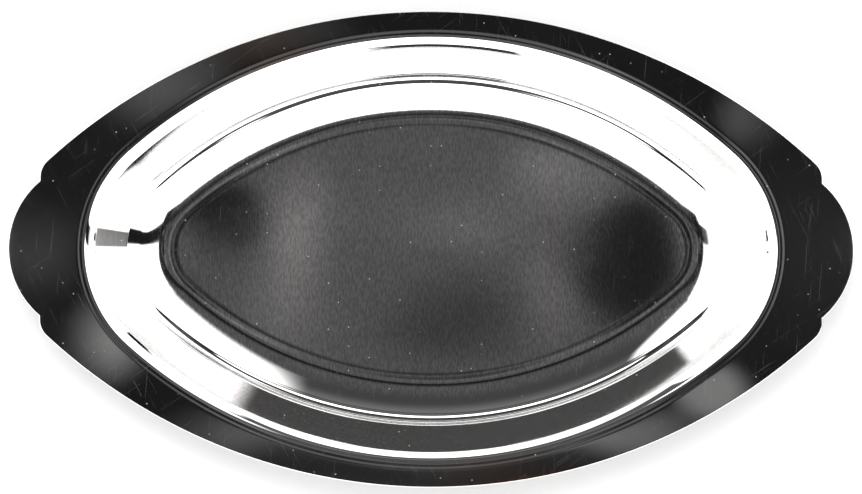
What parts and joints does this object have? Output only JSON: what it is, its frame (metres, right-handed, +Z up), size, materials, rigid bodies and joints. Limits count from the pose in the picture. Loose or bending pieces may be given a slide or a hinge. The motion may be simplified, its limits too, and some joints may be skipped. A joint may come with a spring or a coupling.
{
  "type": "serving tray",
  "caption": "Oval stainless-steel serving tray with a pointed-oval flat rim, rounded hand grips at both ends, a steep wall, a narrow ledge and a flat floor.",
  "frame": {"origin": "centre of the tray, on the surface it rests on", "axes": "+X along the length from grip to grip, +Y across the width, +Z up out of the well"},
  "size_m": [0.35, 0.197, 0.025],
  "materials": {
    "stainless_steel": "bright polished rim, wall and ledge; floor with a fine brushed grain across the tray"
  },
  "bodies": {
    "root": {"pressed_tray": "stainless_steel"}
  },
  "joints": []
}
